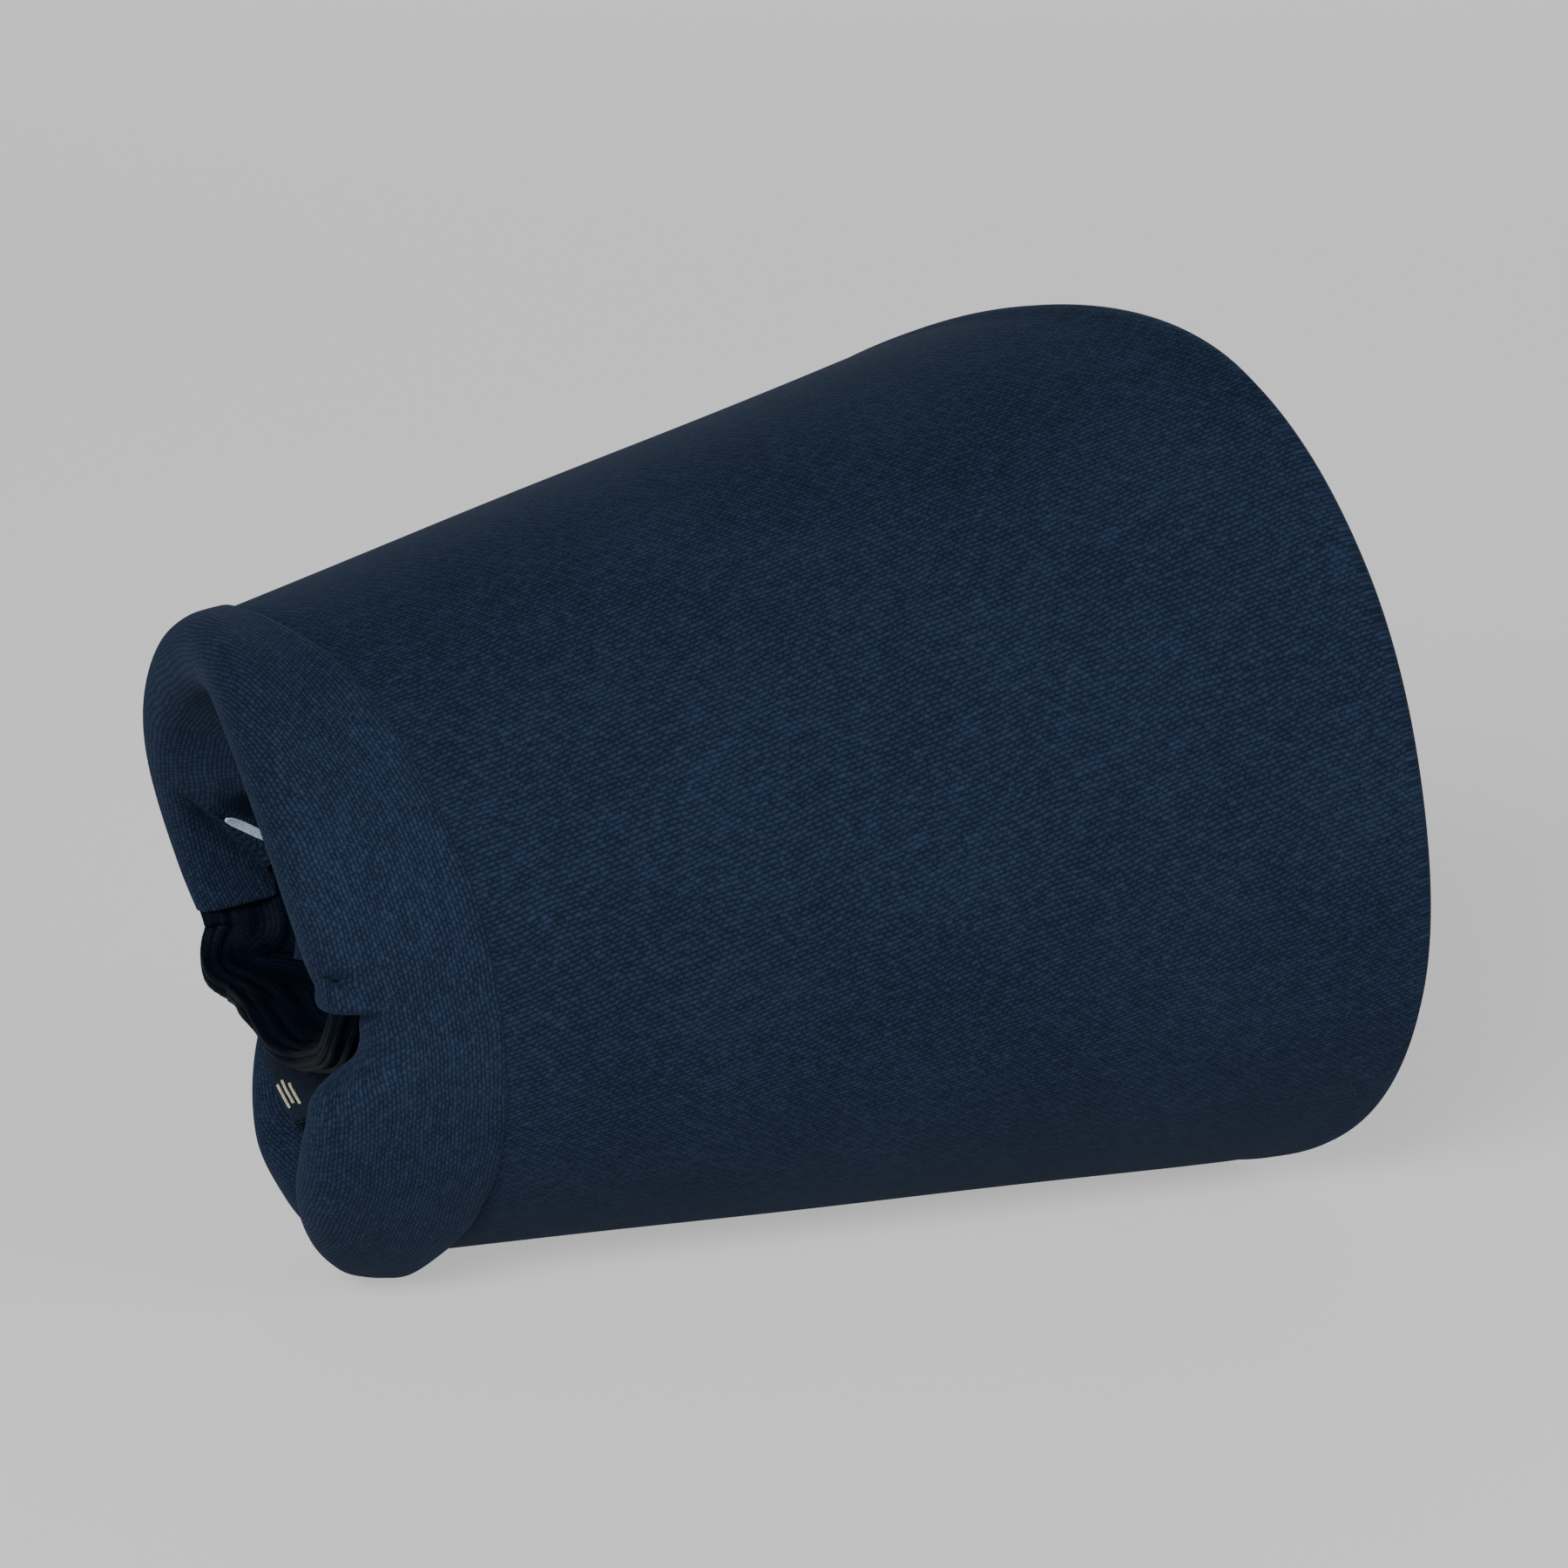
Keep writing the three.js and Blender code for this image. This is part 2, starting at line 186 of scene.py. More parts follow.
def cloth(mid, thick, weave, cut_start=False, cut_end=False, faces_in=0):
    """A closed sheet round a grid of middle points. Its edges are rounded, and a cut end is square.

    The faces of its inner side get material slot faces_in.
    """
    rows, cols = mid.shape[:2]
    along_u = unit(np.gradient(mid, axis=0))
    along_v = unit(np.gradient(mid, axis=1))
    normal = unit(np.cross(along_u, along_v))
    half = np.broadcast_to(np.asarray(thick, float) / 2, (rows, cols))
    bead = np.radians([55, 0, -55])
    beads = len(bead)

    def ring(r, shift, share):
        centre = mid[r] + shift
        n = normal[r] * (half[r] * share)[:, None]
        end, start = half[r, -1] * share, half[r, 0] * share
        far = [centre[-1] + n[-1] * math.sin(b) + along_v[r, -1] * end * math.cos(b) for b in bead]
        near = [centre[0] - n[0] * math.sin(b) - along_v[r, 0] * start * math.cos(b) for b in bead]
        return np.vstack([centre + n, far, (centre - n)[::-1], near])

    def ring_weave(r):
        w = weave[r]
        return np.vstack([w, np.repeat(w[-1:], beads, 0), w[::-1], np.repeat(w[:1], beads, 0)])

    rings, tags = [], []
    rounding = np.radians([84, 62, 32])
    for a in [] if cut_start else rounding:
        rings.append(ring(0, -along_u[0] * (half[0] * math.sin(a))[:, None], math.cos(a)))
        tags.append(ring_weave(0))
    for r in range(rows):
        rings.append(ring(r, 0.0, 1.0))
        tags.append(ring_weave(r))
    for a in [] if cut_end else rounding[::-1]:
        rings.append(ring(rows - 1, along_u[-1] * (half[-1] * math.sin(a))[:, None], math.cos(a)))
        tags.append(ring_weave(rows - 1))
    size = len(rings[0])
    points = np.vstack(rings)
    faces, slots, flat = [], [], []
    for r in range(len(rings) - 1):
        for k in range(size):
            a = r * size + k
            b = r * size + (k + 1) % size
            faces.append((a, b, b + size, a + size))
            slots.append(faces_in if cols + 1 <= k < 2 * cols + 2 else 0)
            flat.append(False)
    for base, turned, cut in ((0, True, cut_start), ((len(rings) - 1) * size, False, cut_end)):
        caps = [(k, k + 1, 2 * cols + beads - 2 - k, 2 * cols + beads - 1 - k) for k in range(cols - 1)]
        caps.append((cols - 1, *range(cols, cols + beads), cols + beads))
        caps.append((2 * cols + beads - 1, *range(2 * cols + beads, size), 0))
        for cap in caps:
            cap = tuple(base + c for c in cap)
            faces.append(cap[::-1] if turned else cap)
            slots.append(0)
            flat.append(cut)
    if signed_volume(points, faces) < 0:
        faces = [face[::-1] for face in faces]
    tag = np.vstack(tags)
    tag = np.hstack([tag, np.zeros((len(tag), 1))])
    return points, faces, tag, slots, flat


def thread(points, radius, slot, flatten=1.0, up=None):
    """A short round or flattened thread through points, with rounded ends."""
    points = np.asarray(points, float)
    ahead = unit(np.gradient(points, axis=0))
    side = unit(np.cross(ahead, np.array([0.31, 0.52, 0.79]) if up is None else up))
    lift = np.cross(side, ahead)
    rings = []
    sides = 8
    angle = 2 * math.pi * np.arange(sides) / sides
    run = [(0, -0.85, 0.5), *[(i, 0.0, 1.0) for i in range(len(points))], (len(points) - 1, 0.85, 0.5)]
    for i, beyond, share in run:
        across = np.cos(angle)[:, None] * side[i] + np.sin(angle)[:, None] * lift[i] * flatten
        rings.append(points[i] + ahead[i] * beyond * radius * flatten + across * radius * share)
    body = np.vstack(rings)
    faces = []
    for r in range(len(rings) - 1):
        for k in range(sides):
            a = r * sides + k
            b = r * sides + (k + 1) % sides
            faces.append((a, b, b + sides, a + sides))
    last = (len(rings) - 1) * sides
    faces.append(tuple(range(sides))[::-1])
    faces.append(tuple(range(last, last + sides)))
    if signed_volume(body, faces) < 0:
        faces = [face[::-1] for face in faces]
    return body, faces, body.copy(), [slot] * len(faces), [False] * len(faces)


def make(name, parts, materials):
    """One Blender object from one or more closed bodies."""
    points, faces, weave, slots, flat = [], [], [], [], []
    count = 0
    for body, body_faces, tag, body_slots, body_flat in parts:
        points.append(body)
        faces += [tuple(count + v for v in face) for face in body_faces]
        weave.append(tag)
        slots += body_slots
        flat += body_flat
        count += len(body)
    mesh = bpy.data.meshes.new(name)
    points = np.vstack(points)
    points[:, 2] = np.maximum(points[:, 2], 0)  # the cloth is pressed flat where it rests
    mesh.from_pydata((points * MM).tolist(), [], faces)
    attribute = mesh.attributes.new("weave", "FLOAT_VECTOR", "POINT")
    attribute.data.foreach_set("vector", np.vstack(weave).astype(np.float32).ravel())
    for material in materials:
        mesh.materials.append(material)
    mesh.polygons.foreach_set("material_index", slots)
    mesh.polygons.foreach_set("use_smooth", [not f for f in flat])
    sharp = np.zeros(len(mesh.edges), bool)
    for polygon, is_flat in zip(mesh.polygons, flat):
        if is_flat:
            for loop in polygon.loop_indices:
                sharp[mesh.loops[loop].edge_index] = True
    mesh.edges.foreach_set("use_edge_sharp", sharp)
    mesh.update()
    piece = bpy.data.objects.new(name, mesh)
    bpy.context.scene.collection.objects.link(piece)
    return piece


def resample(keys, count):
    """A smooth run through key points [rows, keys, 2], at count even places along each row."""
    rows = keys.shape[0]
    k = keys.shape[1]
    fine = np.linspace(0, k - 1, 12 * (k - 1) + 1)
    i = np.clip(fine.astype(int), 0, k - 2)
    s = (fine - i)[None, :, None]
    p0 = keys[:, np.maximum(i - 1, 0)]
    p1 = keys[:, i]
    p2 = keys[:, i + 1]
    p3 = keys[:, np.minimum(i + 2, k - 1)]
    run = 0.5 * (
        2 * p1
        + (p2 - p0) * s
        + (2 * p0 - 5 * p1 + 4 * p2 - p3) * s**2
        + (3 * p1 - p0 - 3 * p2 + p3) * s**3
    )
    step = np.linalg.norm(np.diff(run, axis=1), axis=2)
    length = np.concatenate([np.zeros((rows, 1)), np.cumsum(step, axis=1)], axis=1)
    result = np.empty((rows, count, keys.shape[2]))
    for r in range(rows):
        want = np.linspace(0, length[r, -1], count)
        for c in range(keys.shape[2]):
            result[r, :, c] = np.interp(want, length[r], run[r, :, c])
    return result, length[:, -1]


# ---- materials ----
def node(tree, kind, **values):
    made = tree.nodes.new(kind)
    for key, value in values.items():
        if key.startswith("in_"):
            made.inputs[key[3:]].default_value = value
        else:
            setattr(made, key, value)
    return made


def maths(tree, operation, a, b=None):
    made = tree.nodes.new("ShaderNodeMath")
    made.operation = operation
    for socket, value in zip(made.inputs, (a, b)):
        if value is None:
            continue
        if isinstance(value, (int, float)):
            socket.default_value = value
        else:
            tree.links.new(value, socket)
    return made.outputs[0]


FLECK_LIGHTER = 1.8


def twill(
    name, dark, light, pitch=0.57, dash=1.0, depth=0.05, sheen=0.03, rough=0.9, flecks=0.12, relief=1.0,
    gloss=0.04,
):
    """Twill cloth: ribs across the weave's first direction, each broken into yarn floats of uneven tone."""
    material = bpy.data.materials.new(name)
    material.use_nodes = True
    tree = material.node_tree
    link = tree.links.new
    shader = tree.nodes["Principled BSDF"]
    place = node(tree, "ShaderNodeAttribute", attribute_name="weave")

    def noise(scale, detail, rough_share=0.5):
        made = node(tree, "ShaderNodeTexNoise", in_Scale=scale, in_Detail=detail, in_Roughness=rough_share)
        link(place.outputs["Vector"], made.inputs["Vector"])
        return made.outputs["Fac"]

    def add(a, b):
        return maths(tree, "ADD", a, b)

    def times(a, b):
        return maths(tree, "MULTIPLY", a, b)

    def hump(value):
        """Rises from 0 to 1 and falls back once in each whole step of value."""
        return maths(tree, "SINE", times(maths(tree, "FRACT", value), math.pi))

    split = node(tree, "ShaderNodeSeparateXYZ")
    link(place.outputs["Vector"], split.inputs[0])
    across = add(split.outputs["X"], times(noise(0.12, 1.0), pitch * 2.4))
    count = maths(tree, "DIVIDE", across, pitch)
    row = maths(tree, "FLOOR", count)
    rib = hump(count)
    run = add(maths(tree, "DIVIDE", split.outputs["Y"], dash), times(row, 0.38))
    run = add(run, times(noise(0.9, 2.0), 1.6))
    yarn = hump(run)
    cell = node(tree, "ShaderNodeCombineXYZ")
    link(row, cell.inputs[0])
    link(maths(tree, "FLOOR", run), cell.inputs[1])
    chance = node(tree, "ShaderNodeTexWhiteNoise", noise_dimensions="2D")
    link(cell.outputs[0], chance.inputs["Vector"])
    chance = chance.outputs["Value"]
    float_height = times(rib, add(0.2, times(yarn, 0.75)))
    grain = maths(tree, "SUBTRACT", noise(4.2, 3.0, 0.7), 0.5)
    height = add(float_height, times(grain, 1.7))
    tone = add(times(height, 0.5), times(chance, 0.2))
    cloud = maths(tree, "SUBTRACT", noise(0.05, 3.0), 0.5)
    tone = add(tone, times(cloud, 0.25))
    ramp = node(tree, "ShaderNodeValToRGB")
    ramp.color_ramp.elements[0].position = 0.13
    ramp.color_ramp.elements[0].color = (*dark, 1)
    ramp.color_ramp.elements[1].position = 0.64
    ramp.color_ramp.elements[1].color = (*light, 1)
    link(tone, ramp.inputs["Fac"])
    lit = node(tree, "ShaderNodeMapRange")
    lit.inputs["From Min"].default_value = 0.93
    lit.inputs["From Max"].default_value = 1.0
    lit.inputs["To Max"].default_value = flecks
    link(times(chance, add(0.9, times(yarn, 0.1))), lit.inputs["Value"])
    mix = node(tree, "ShaderNodeMix", data_type="RGBA")
    link(lit.outputs["Result"], mix.inputs["Factor"])
    link(ramp.outputs["Color"], mix.inputs["A"])
    mix.inputs["B"].default_value = (*(c * FLECK_LIGHTER for c in light), 1)
    link(mix.outputs["Result"], shader.inputs["Base Color"])
    bump = node(tree, "ShaderNodeBump", in_Strength=0.8 * relief, in_Distance=depth * 0.002)
    link(height, bump.inputs["Height"])
    link(bump.outputs["Normal"], shader.inputs["Normal"])
    uneven = times(maths(tree, "SUBTRACT", 0.5, rib), 0.1)
    link(add(uneven, rough), shader.inputs["Roughness"])
    shader.inputs["Sheen Weight"].default_value = sheen
    shader.inputs["Sheen Roughness"].default_value = 0.45
    shader.inputs["Sheen Tint"].default_value = (0.3, 0.5, 0.85, 1)
    shader.inputs["Specular IOR Level"].default_value = gloss
    return material


NAVY = twill("navy_twill_bill", (0.0026, 0.0052, 0.0124), (0.0100, 0.0172, 0.0362))
NAVY_BAND = twill(
    "navy_twill_band", (0.0026, 0.0052, 0.0122), (0.0102, 0.0174, 0.0358), pitch=0.48, dash=0.85,
)
NAVY_UNDER = twill("navy_twill_under", (0.0023, 0.0048, 0.011), (0.0088, 0.0154, 0.032))
SWEAT = twill(
    "sweatband_knit", (0.0025, 0.003, 0.0045), (0.008, 0.009, 0.012),
    pitch=0.8, dash=0.7, depth=0.08, flecks=0.1,
)
# Dark navy casing cloth. Its colour is darkened further with painted shade of the hollow it lies in.
CASING = twill(
    "casing_cloth_with_painted_shade", (0.0006, 0.0012, 0.0030), (0.0021, 0.0043, 0.0100),
    pitch=0.3, dash=0.4, sheen=0.0, rough=0.62, flecks=0.1, relief=0.5, gloss=0.03,
)
THREAD = twill("thread", (0.008, 0.016, 0.03), (0.02, 0.036, 0.06), pitch=0.2, dash=0.3, flecks=0.0)
# Painted shade: the mark is white, coloured here in the grey-blue it shows in the crease's shade.
MARK_WITH_PAINTED_SHADE = twill(
    "pale_mark_painted_shade", (0.22, 0.28, 0.35), (0.36, 0.44, 0.52), pitch=0.3, dash=0.4, depth=0.02, flecks=0.0,
)
LABEL_CLOTH = twill(
    "woven_label", (0.004, 0.006, 0.010), (0.012, 0.018, 0.028), pitch=0.25, dash=0.4, flecks=0.0,
)
TAPE = twill("binding_tape", (0.003, 0.005, 0.010), (0.010, 0.017, 0.03), pitch=0.4, dash=0.5, flecks=0.0)
ELASTIC = twill(
    "woven_elastic", (0.004, 0.004, 0.005), (0.014, 0.014, 0.016), pitch=0.7, dash=0.9, flecks=0.0,
)
CREAM = twill("cream_thread", (0.24, 0.21, 0.15), (0.44, 0.40, 0.30), pitch=0.25, dash=0.4, flecks=0.0)


# ---- the bill ----
def turns(start, end, step, fine=None):
    """Turns from start to end, closer together between the two fine turns."""
    places = [start]
    while places[-1] < end - 1e-6:
        near = fine is not None and fine[0] <= places[-1] < fine[1]
        places.append(min(end, places[-1] + (step / 3 if near else step)))
    if len(places) > 2 and places[-1] - places[-2] < step / 6:
        places.pop(-2)
    return np.array(places)


def flat_place(x, turn, skew):
    """Where a place on the cone lies on the flat cloth, turned by skew degrees, in millimetres."""
    radius = (SEAM_RADIUS + x * math.tan(CONE_ANGLE)) / math.sin(CONE_ANGLE)
    angle = np.radians(turn) * math.sin(CONE_ANGLE) + math.radians(skew)
    return np.stack([radius * np.sin(angle), radius * np.cos(angle)], axis=-1)


BILL_CLOTH_SKEW = -11.0
RIM_BEAD = 0.3


def bill_cover(start, end, cut_start, cut_end):
    t = turns(start, end, 1.6)[:, None]
    share = np.linspace(0, 1, 60)[None, :] ** 0.9
    seam = seam_line(t) + 0.15
    rim = seam_line(t) + bill_depth(t) - BILL_THICK / 2
    x = seam + (rim - seam) * share
    t = np.broadcast_to(t, x.shape)
    to_rim = rim - x
    from_seam = x - seam
    bead = dome(to_rim, 1.2, 1.6)
    sway = 0.2 * ripple(x / 26, t / 24, 3) * smooth(to_rim / 15)
    pucker = 0.07 * ripple(x / 5, t / 2.6, 5) * np.exp(-from_seam / 5)
    dip = -0.12 * dome(to_rim, 4.2, 1.3)
    mid = on_roll(x, t, -BILL_THICK / 2 - 0.05 + sway * 0.6 + pucker + dip)
    thick = BILL_THICK + RIM_BEAD * bead
    return cloth(mid, thick, flat_place(x, t, BILL_CLOTH_SKEW), cut_start, cut_end, faces_in=1)


TAPE_WIDTH = 7.5
TAPE_THICK = 0.5
TAPE_FROM_SEAM = 0.8
TAPE_STITCH_STEP = 4.2  # in degrees of turn


def tape_width(turn):
    return np.minimum(TAPE_WIDTH, bill_depth(turn) - 2.0)


def seam_tape(start, end, cut_start, cut_end):
    """The tape that covers the seam inside the bill, with a row of stitches along each side."""
    t = turns(start, end, 2.4)[:, None]
    share = np.linspace(0, 1, 7)[None, :]
    x = seam_line(t) + TAPE_FROM_SEAM + tape_width(t) * share
    t = np.broadcast_to(t, x.shape)
    under = -BILL_THICK - 0.62
    mid = on_roll(x, t, under + 0.05 * ripple(x / 3, t / 4, 8))
    tag = np.stack([x, np.radians(t) * WEAVE_RADIUS], axis=-1)
    bodies = [cloth(mid, TAPE_THICK, tag, cut_start, cut_end)]
    for place in (0.14, 0.86):
        at = start + 3
        while at < end - 5:
            run = at + np.linspace(0, TAPE_STITCH_STEP * 0.72, 4)
            x = seam_line(run) + TAPE_FROM_SEAM + tape_width(run) * place
            bodies.append(thread(on_roll(x, run, under - 0.3), 0.17, 1))
            at += TAPE_STITCH_STEP
    return bodies


# ---- the folded band ----
# How far the fold edge is set back: a hollow at the pinch, and the inner layer clear of the strap.
NOTCH = curve([
    (-192, 3.0), (-170, 3.0), (-158, 1.8), (-146, 0.2), (-140, 0), (-20, 0), (-15.5, 0.2), (-12.4, 1.6),
    (-9.4, 3.9), (-6, 4.7), (-2, 4.7), (2.2, 4.3), (3.6, 1.0), (4.8, 0.2), (8, 0.5), (14, 0), (192, 0),
])
# How far along the roll the band's inner leg ends.
INNER_END = curve([
    (-192, 4), (-150, 3), (-110, 0), (-60, -2), (60, -2), (92, -1), (115, 3), (150, 5), (192, 5),
])


def inner_lift(x, turn):
    """How far the band's inner leg is moved from its plain path, where it puffs in and is creased."""
    far = smooth((turn - 66) / 30) * smooth((172 - turn) / 22)
    puff = -9.5 * far * dome(x, -4.5, 8.6) - smooth((turn - 150) / 10) * dome(x, -5, 7)
    puff = puff - 3.6 * dome(turn, -86, 19) * dome(x, -5, 5)
    past = turn - (158 + 2.3 * (x + 14.3))
    reach = smooth((x + 15.5) / 5) * smooth((turn - 140) / 14)
    over = -2.8 * np.exp(np.minimum(past, 0) / 9) * (1 - smooth((past + 0.6) / 2.2))
    under = 1.3 * dome(past, 3.4, 2.6)
    return puff + reach * (over + under)


def cuff_keys(t, depth):
    """Key points (along, out from the seam radius) of the folded band, depth millimetres in."""
    seam = seam_line(t) - 0.15
    fold = fold_edge(t) + NOTCH(t)
    bulge = cuff_bulge(t)
    half = cuff_height(t) / 2
    cx = fold + half
    co = bulge - half
    reach = half - depth
    full = dome(t, -66, 20)
    keys = [
        (seam, -0.4 - depth * 0.9),
        (seam - 0.8, 0.6 + full * 0.5 - depth),
        (seam + (cx - seam) * 0.35, bulge * 0.8 + full * 0.9 - depth),
        (seam + (cx - seam) * 0.7, bulge * 0.97 + full * 0.45 - depth),
    ]
    for degrees in (5, 35, 65, 95, 125, 155, 178):
        a = math.radians(degrees)
        keys.append((cx - reach * math.sin(a), co + reach * math.cos(a)))
    end = np.maximum(INNER_END(t) - 9 * smooth((t - 152) / 22), cx + 0.6)
    for share in (0.3, 0.6, 1.0):
        keys.append((cx + (end - cx) * share, co - reach - 0.1 * share))
    stacked = [np.stack([np.broadcast_to(k, t.shape) for k in key], axis=-1) for key in keys]
    return np.stack(stacked, axis=1)


def cuff_mid(t, depth, count):
    path, lengths = resample(cuff_keys(t, depth), count)
    x, out = path[..., 0], path[..., 1]
    tt = np.broadcast_to(t[:, None], x.shape)
    height = cuff_height(tt)
    inner = smooth((cuff_bulge(tt) - height * 0.5 - out) / (height * 0.3))
    mid = on_roll(x, tt, out + inner * inner_lift(x, tt))
    s = np.linspace(0, 1, count)[None, :] * lengths[:, None]
    around = np.radians(tt) * WEAVE_RADIUS
    seam_pucker = 0.05 * ripple(s / 3.2, around / 3.4, 17) * np.exp(-s / 3.5)
    unevenness = 0.16 * ripple(around / 9, s / 7, 11) + seam_pucker
    mid = mid + sheet_normals(mid) * unevenness[..., None]
    # a small hooked crevice above the pinch
    crevice = dome(x, -17.6, 1.1) * dome(tt + (x + 17.6) * 0.8, 9, 1.5) * (1 - inner)
    return mid - outward(tt) * (3.0 * crevice)[..., None], np.stack([s, around], axis=-1)


PINCH_TURNS = (-18, 18)
BAND_END_TURN = 189


def cuff(start, end, depth, thick, count, cut_start, cut_end):
    t = turns(start, end, 1.5, fine=PINCH_TURNS)
    mid, weave = cuff_mid(t, depth + thick / 2, count)
    return cloth(mid, thick, weave, cut_start, cut_end), mid


# ---- the strap ----
STRAP = [
    # turn, along, distance from the axis, width along the roll, thickness
    (186, -5.6, 36.8, 16, 3.2), (192, -5.4, 37.0, 15.5, 3.4), (196.5, -6.0, 36.7, 15, 3.6),
    (200.5, -8.4, 35.6, 13.5, 4.0), (204, -9.8, 32.6, 11, 4.0), (208, -7.8, 28.2, 15.5, 4.0),
    (214, -6.8, 22.4, 18, 3.8), (224, -6.8, 17.4, 19, 3.8), (240, -7.2, 14.6, 19, 3.8),
    (262, -7.6, 13.8, 18.5, 4.2), (292, -7.8, 14.2, 17.5, 4.6), (320, -8.4, 17.0, 16, 4.6),
    (338, -9.4, 21.4, 14.5, 4.6), (353, -9.0, 25.4, 14, 4.6), (375, -2.0, 26.4, 14, 4.6),
    (415, 3.0, 24.0, 15, 4.4), (460, 4.0, 21.0, 15, 4.4), (496, 3.4, 20.2, 15, 4.4),
    (516, 4.6, 23.0, 14.5, 4.0), (532, 6.2, 27.2, 14, 3.4), (548, 7.2, 29.0, 14, 2.8),
]


def through(values, count):
    """Even samples of a smooth run through rows of values."""
    values = np.asarray(values, float)
    run, _ = resample(values[None], count)
    return run[0]


SIZE_SHARE = 0.2  # so that the strap's size counts for little in how its run is spaced


def strap_frames(count):
    """The strap's middle line, its two cross directions, its widths and its thicknesses."""
    places = [from_axis(x, t, r) for t, x, r, w, h in STRAP]
    sizes = [(w, h) for t, x, r, w, h in STRAP]
    run = through(np.hstack([places, np.array(sizes) * SIZE_SHARE]), count)
    centre = run[:, :3]
    ahead = unit(np.gradient(centre, axis=0))
    wide = unit(AXIS - ahead * (ahead * AXIS).sum(axis=1)[:, None])
    return centre, wide, np.cross(ahead, wide), run[:, 3] / SIZE_SHARE, run[:, 4] / SIZE_SHARE


CASING_CLOTH = 0.7
ELASTIC_THICK = 1.4
ELASTIC_NARROWER = 4.2
ELASTIC_LENGTH = 120


def strap_casing():
    """A gathered sleeve, sewn along one long edge, with lengthwise pleats and small cross gathers."""
    rows, cols = 190, 120
    centre, wide, thick, width, height = strap_frames(rows)
    length = np.concatenate([[0], np.cumsum(np.linalg.norm(np.diff(centre, axis=0), axis=1))])
    a = np.radians(np.linspace(3, 357, cols))[None, :]
    s = length[:, None]
    squash = np.sign(np.sin(a)) * np.abs(np.sin(a)) ** 0.8
    flat = np.sign(np.cos(a)) * np.abs(np.cos(a)) ** 0.7
    drift = 0.9 * np.sin(s / 9.0) + 0.6 * np.sin(s / 4.1 + 1.0)
    pleat = 0.34 * np.sin(14 * a + drift) + 0.16 * np.sin(23 * a - drift * 1.4 + 1.3)
    gather = 0.16 * ripple(s / 5.5, a * 1.6, 23)
    tight = 0.35 + 0.65 * smooth(s / 10)
    swell = (pleat + gather) * tight - 0.35
    wide_out = flat * (width[:, None] / 2 - CASING_CLOTH / 2) + np.cos(a) * swell
    thick_out = squash * (height[:, None] / 2 - CASING_CLOTH / 2) + np.sin(a) * swell
    mid = centre[:, None] + wide[:, None] * wide_out[..., None] + thick[:, None] * thick_out[..., None]
    tag = np.stack(np.broadcast_arrays(a * 6.0, s), axis=-1)
    return cloth(mid, CASING_CLOTH, tag), mid


def strap_elastic():
    rows = 150
    centre, wide, _, width, _ = strap_frames(rows)
    across = np.linspace(-0.5, 0.5, 9)[None, :]
    offset = across * (width[:, None] - ELASTIC_NARROWER)
    mid = centre[:, None] + wide[:, None] * offset[..., None]
    s = np.linspace(0, ELASTIC_LENGTH, rows)[:, None]
    tag = np.stack(np.broadcast_arrays(across * 10, s), axis=-1)
    return cloth(mid, ELASTIC_THICK, tag), mid


# ---- the label, the mark and the tacks ----
LABEL_TURN = 240
LABEL_HINGE = -3.4
LABEL_HALF_WIDTH = 5.5
LABEL_CURL = 0.25
LABEL_FACE = 26.22  # how far from the axis the bars lie
BAR_RADIUS = 0.2
BAR_PLACES = ((-13.0, -0.8, 3.4), (-12.3, -1.3, 2.7), (-11.6, -0.6, 3.1))  # along, start, end
MARK_WIDTH = 0.9


def label_curl(across, x):
    """How far the label bows outward at a place across it and along the roll."""
    bow = LABEL_CURL * np.cos(across / LABEL_HALF_WIDTH * math.pi)
    return bow * smooth((LABEL_HINGE - x) / 8)


def care_label():
    """A folded woven label, sewn in at its open end, with three plain bars woven on its face."""
    side = unit(np.cross(outward(LABEL_TURN), AXIS))
    stops = [
        (LABEL_HINGE, 27.0), (-6.5, 27.05), (-10.0, 27.0), (-12.9, 26.95), (-13.35, 26.75),
        (-12.9, 26.52), (-10.0, 26.4), (-6.5, 26.42), (LABEL_HINGE, 26.5),
    ]
    rows = 44
    path = through(stops, rows)
    across = np.linspace(-LABEL_HALF_WIDTH, LABEL_HALF_WIDTH, 14)
    mid = np.array([[from_axis(x, LABEL_TURN, r) + side * v for v in across] for x, r in path])
    curl = label_curl(across[None, :], path[:, 0:1])
    mid = mid + outward(LABEL_TURN) * curl[..., None]
    tag = np.stack(np.broadcast_arrays(across[None, :], np.linspace(0, 20, rows)[:, None]), axis=-1)
    bodies = [cloth(mid, 0.3, tag)]
    for x, start, end in BAR_PLACES:
        places = np.linspace(start, end, 8)
        lift = label_curl(places, x)
        run = [from_axis(x, LABEL_TURN, LABEL_FACE + c) + side * v for v, c in zip(places, lift)]
        bodies.append(thread(run, BAR_RADIUS, 1, flatten=0.5, up=outward(LABEL_TURN)))
    return bodies, mid


def label_stitches():
    side = unit(np.cross(outward(LABEL_TURN), AXIS))
    bodies = []
    for place in np.linspace(-4.6, 4.6, 6):
        middle = from_axis(-2.65, LABEL_TURN, 26.9) + side * place
        run = [middle + side * v + outward(LABEL_TURN) * (v * v * 0.35) for v in (-0.6, -0.2, 0.2, 0.6)]
        bodies.append(thread(run, 0.2, 0))
    return bodies


def inner_leg(x, turn, lift):
    """A place on the band's inner leg, lift millimetres off its face."""
    out = cuff_bulge(turn) - cuff_height(turn) + inner_lift(x, turn) - lift
    return on_roll(x, turn, out)


